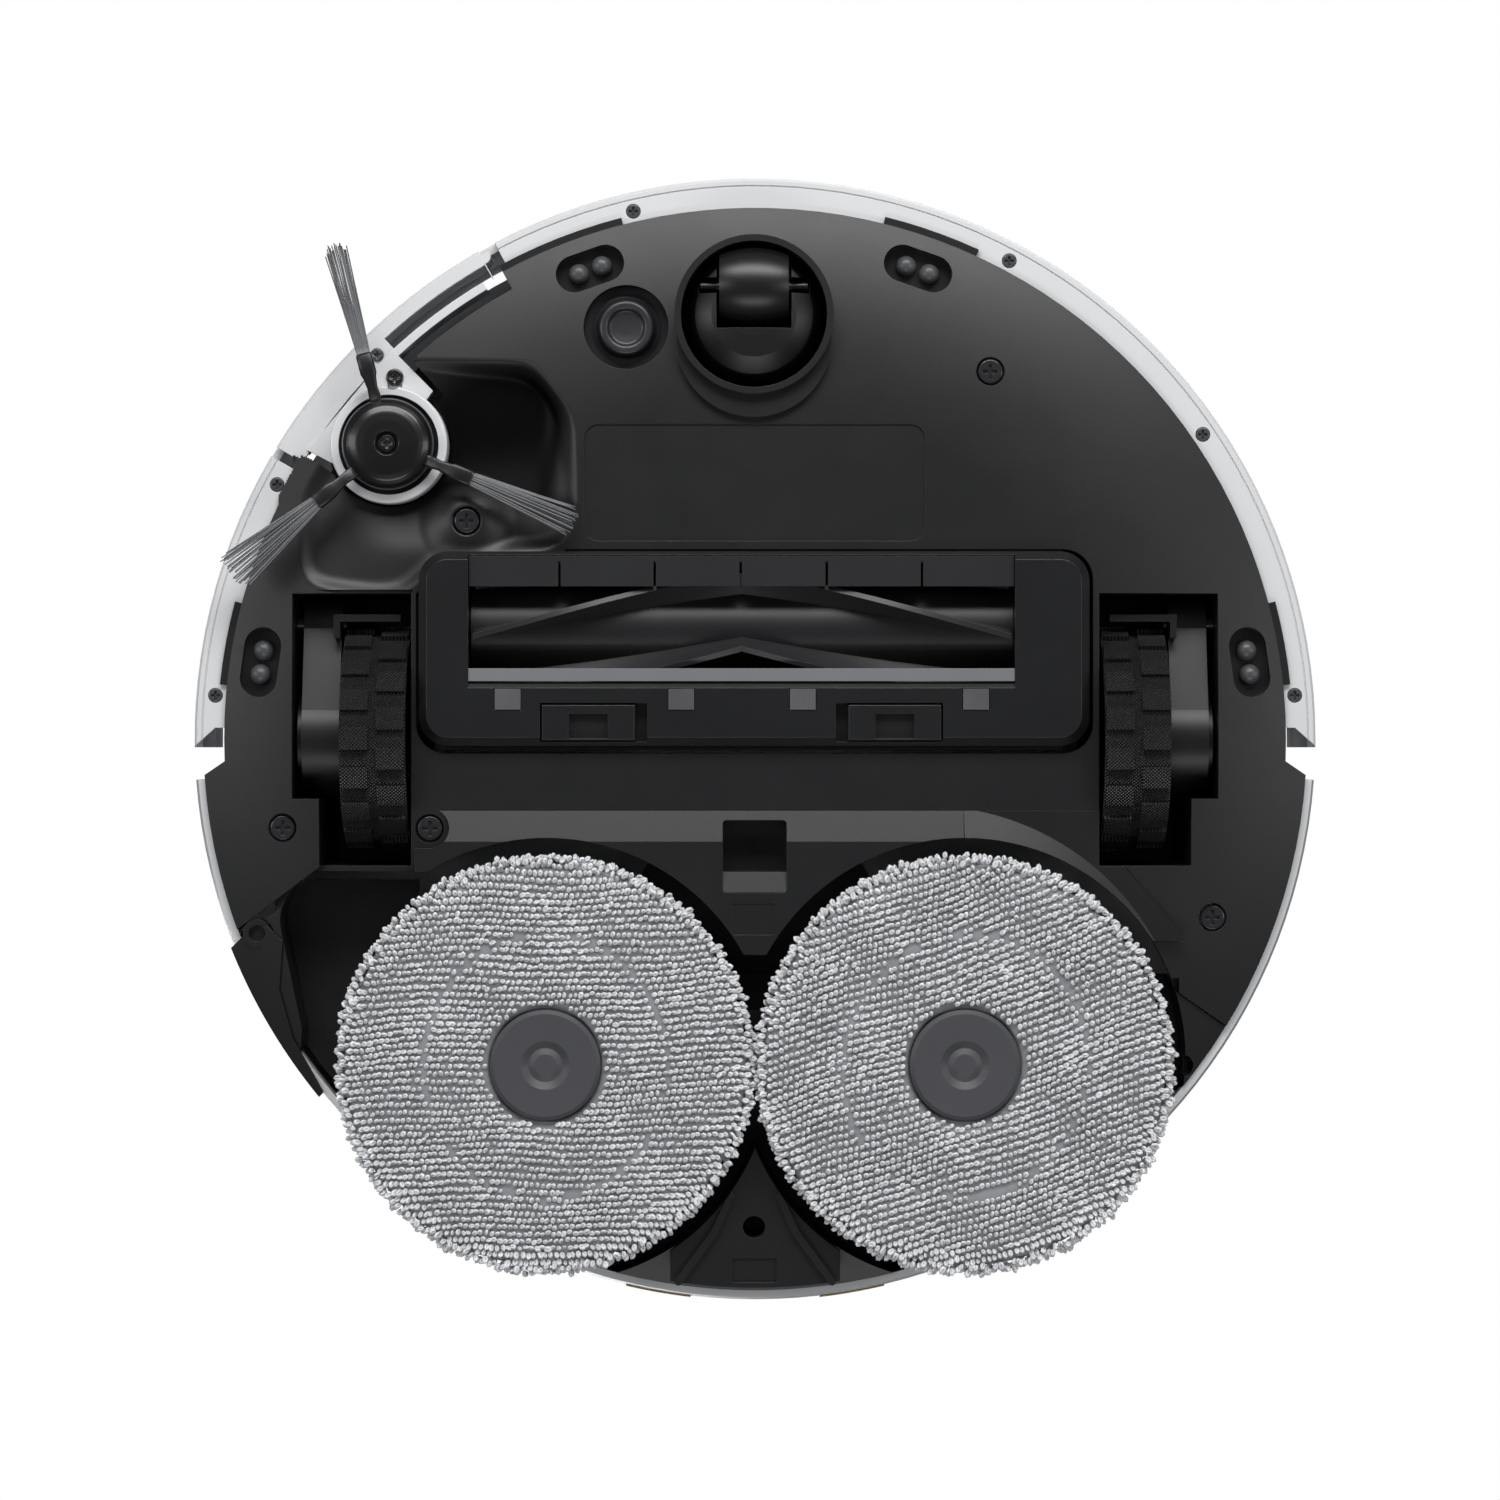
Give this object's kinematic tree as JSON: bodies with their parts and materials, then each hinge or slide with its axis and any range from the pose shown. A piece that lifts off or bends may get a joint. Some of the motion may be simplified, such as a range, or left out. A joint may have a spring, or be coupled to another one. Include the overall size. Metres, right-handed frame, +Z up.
{
  "type": "robot vacuum",
  "caption": "Round robot vacuum and mop with a lidar turret, a main roller, a swing-out side brush and spinning mops.",
  "frame": {"origin": "on the floor under the middle of the bounding box, which is the centre of the round body", "axes": "+Z up, the front of the robot faces -Y, the side brush is on the -X side"},
  "size_m": [0.35, 0.35, 0.104],
  "materials": {
    "black_plastic": "fine texture",
    "black_gloss": "gloss",
    "dark_grey_plastic": "satin",
    "light_grey_plastic": "satin",
    "white_plastic": "satin gloss",
    "smoked_window": "gloss",
    "lens": "clear dark",
    "tyre_rubber": "knurled",
    "soft_rubber": "matte",
    "bristle": "nylon filament",
    "terry": "terry loops",
    "felt": "felt",
    "steel": "bright",
    "black_steel": "black oxide",
    "screw_grey": "black oxide",
    "board_green": "solder mask",
    "contact": "plated",
    "filter": "pleated",
    "tank": "translucent"
  },
  "bodies": {
    "root": {"bottom_pan": "black_plastic", "rear_panel": "black_plastic", "mop_module_base": "black_plastic", "rear_shell": "white_plastic", "cliff_sensor_lenses": "lens", "round_sensor": "dark_grey_plastic", "chassis_screws": "black_steel", "arm_pivot_pins": "steel", "brush_guard": "black_plastic", "flap_strip": "soft_rubber", "scraper_bar": "light_grey_plastic", "felt_pads": "felt", "brush_housing": "black_plastic", "brush_motor": "black_plastic", "top_cover": "white_plastic", "lidar_base": "dark_grey_plastic", "lidar_window": "smoked_window", "lidar_cap": "white_plastic", "dust_bin": "tank", "bin_filter": "filter", "suction_fan": "black_plastic", "battery_pack": "black_plastic", "main_board": "board_green", "water_tank": "tank", "camera_module": "black_plastic", "charging_contacts": "contact", "wheel_housing_left": "black_plastic", "wheel_housing_right": "black_plastic"},
    "bumper": {"front_bumper": "white_plastic", "bumper_screws": "screw_grey", "bumper_window": "smoked_window"},
    "brush_arm": {"side_brush_arm": "white_plastic", "side_brush_housing": "black_plastic"},
    "side_brush": {"side_brush_hub": "black_gloss", "side_brush_sleeves": "soft_rubber", "side_brush_bristles": "bristle"},
    "roller": {"roller_core": "black_plastic", "roller_vanes": "soft_rubber"},
    "latch_left": {"guard_latch_left": "black_plastic"},
    "latch_right": {"guard_latch_right": "black_plastic"},
    "suspension_left": {"drive_arm_left": "black_plastic"},
    "suspension_right": {"drive_arm_right": "black_plastic"},
    "wheel_left": {"wheel_hub_left": "dark_grey_plastic", "tyre_left": "tyre_rubber"},
    "wheel_right": {"wheel_hub_right": "dark_grey_plastic", "tyre_right": "tyre_rubber"},
    "caster_swivel": {"caster_dome": "black_gloss"},
    "caster_roller": {"caster_wheel": "black_gloss", "caster_axle": "steel"},
    "mop_lift": {"mop_carriage": "black_plastic"},
    "mop_swing": {"mop_arm": "black_plastic"},
    "mop_flap": {"mop_side_flap": "black_plastic"},
    "mop_left": {"mop_plate_left": "dark_grey_plastic", "mop_pad_left": "terry"},
    "mop_right": {"mop_plate_right": "dark_grey_plastic", "mop_pad_right": "terry"},
    "lidar_head": {"lidar_spinner": "black_plastic"},
    "lid": {"lid": "white_plastic"},
    "power_key": {"power_button": "white_plastic"},
    "home_key": {"home_button": "white_plastic"}
  },
  "joints": [
    {"name": "bumper_press", "type": "slide", "parent": "root", "child": "bumper", "axis": [0, 1, 0], "range_m": [0, 0.003], "stiffness_N_per_m": 1500, "springref_m": -0.002},
    {"name": "brush_arm_swing", "type": "hinge", "parent": "root", "child": "brush_arm", "pos_m": [-0.0839, -0.1486, 0.028], "axis": [0, 0, 1], "range_deg": [0, 10]},
    {"name": "side_brush_spin", "type": "hinge", "parent": "brush_arm", "child": "side_brush", "pos_m": [-0.1121, -0.0899, 0.01], "axis": [0, 0, 1], "continuous": true},
    {"name": "roller_spin", "type": "hinge", "parent": "root", "child": "roller", "pos_m": [-0.004, -0.034, 0.027], "axis": [1, 0, 0], "continuous": true},
    {"name": "guard_latch_left_slide", "type": "slide", "parent": "root", "child": "latch_left", "axis": [1, 0, 0], "range_m": [0, 0.0033]},
    {"name": "guard_latch_right_slide", "type": "slide", "parent": "root", "child": "latch_right", "axis": [-1, 0, 0], "range_m": [0, 0.0033]},
    {"name": "suspension_left_drop", "type": "hinge", "parent": "root", "child": "suspension_left", "pos_m": [-0.134, -0.036, 0.032], "axis": [1, 0, 0], "range_deg": [-22, 0], "stiffness_Nm_per_rad": 0.25, "springref_deg": -34.38},
    {"name": "suspension_right_drop", "type": "hinge", "parent": "root", "child": "suspension_right", "pos_m": [0.134, -0.036, 0.032], "axis": [1, 0, 0], "range_deg": [-22, 0], "stiffness_Nm_per_rad": 0.25, "springref_deg": -34.38},
    {"name": "wheel_left_spin", "type": "hinge", "parent": "suspension_left", "child": "wheel_left", "pos_m": [-0.1163, 0, 0.035], "axis": [1, 0, 0], "continuous": true},
    {"name": "wheel_right_spin", "type": "hinge", "parent": "suspension_right", "child": "wheel_right", "pos_m": [0.1163, 0, 0.035], "axis": [1, 0, 0], "continuous": true},
    {"name": "caster_turn", "type": "hinge", "parent": "root", "child": "caster_swivel", "pos_m": [-0.00035, -0.1293, 0.02], "axis": [0, 0, 1], "continuous": true},
    {"name": "caster_roll", "type": "hinge", "parent": "caster_swivel", "child": "caster_roller", "pos_m": [-0.00035, -0.1382, 0.012], "axis": [1, 0, 0], "continuous": true},
    {"name": "mop_lift_slide", "type": "slide", "parent": "root", "child": "mop_lift", "axis": [0, 0, 1], "range_m": [0, 0.009]},
    {"name": "mop_extend", "type": "hinge", "parent": "mop_lift", "child": "mop_swing", "pos_m": [-0.0637, 0.062, 0.02], "axis": [0, 0, 1], "range_deg": [0, 14]},
    {"name": "mop_flap_swing", "type": "hinge", "parent": "root", "child": "mop_flap", "pos_m": [-0.1533, 0.0599, 0.022], "axis": [0, 0, 1], "range_deg": [0, 11.3]},
    {"name": "mop_left_spin", "type": "hinge", "parent": "mop_swing", "child": "mop_left", "pos_m": [-0.0637, 0.0991, 0.01], "axis": [0, 0, 1], "continuous": true},
    {"name": "mop_right_spin", "type": "hinge", "parent": "mop_lift", "child": "mop_right", "pos_m": [0.0637, 0.0991, 0.01], "axis": [0, 0, 1], "continuous": true},
    {"name": "lidar_spin", "type": "hinge", "parent": "root", "child": "lidar_head", "pos_m": [0, 0.062, 0.09], "axis": [0, 0, 1], "continuous": true},
    {"name": "lid_open", "type": "hinge", "parent": "root", "child": "lid", "pos_m": [0, 0.0123, 0.086], "axis": [-1, 0, 0], "range_deg": [0, 75]},
    {"name": "power_button_press", "type": "slide", "parent": "root", "child": "power_key", "axis": [0, 0, -1], "range_m": [0, 0.0008], "stiffness_N_per_m": 600, "springref_m": -0.0008},
    {"name": "home_button_press", "type": "slide", "parent": "root", "child": "home_key", "axis": [0, 0, -1], "range_m": [0, 0.0008], "stiffness_N_per_m": 600, "springref_m": -0.0008}
  ],
  "couplings": [
    {"joint": "mop_flap_swing", "follows": "mop_extend", "ratio": 0.8}
  ]
}
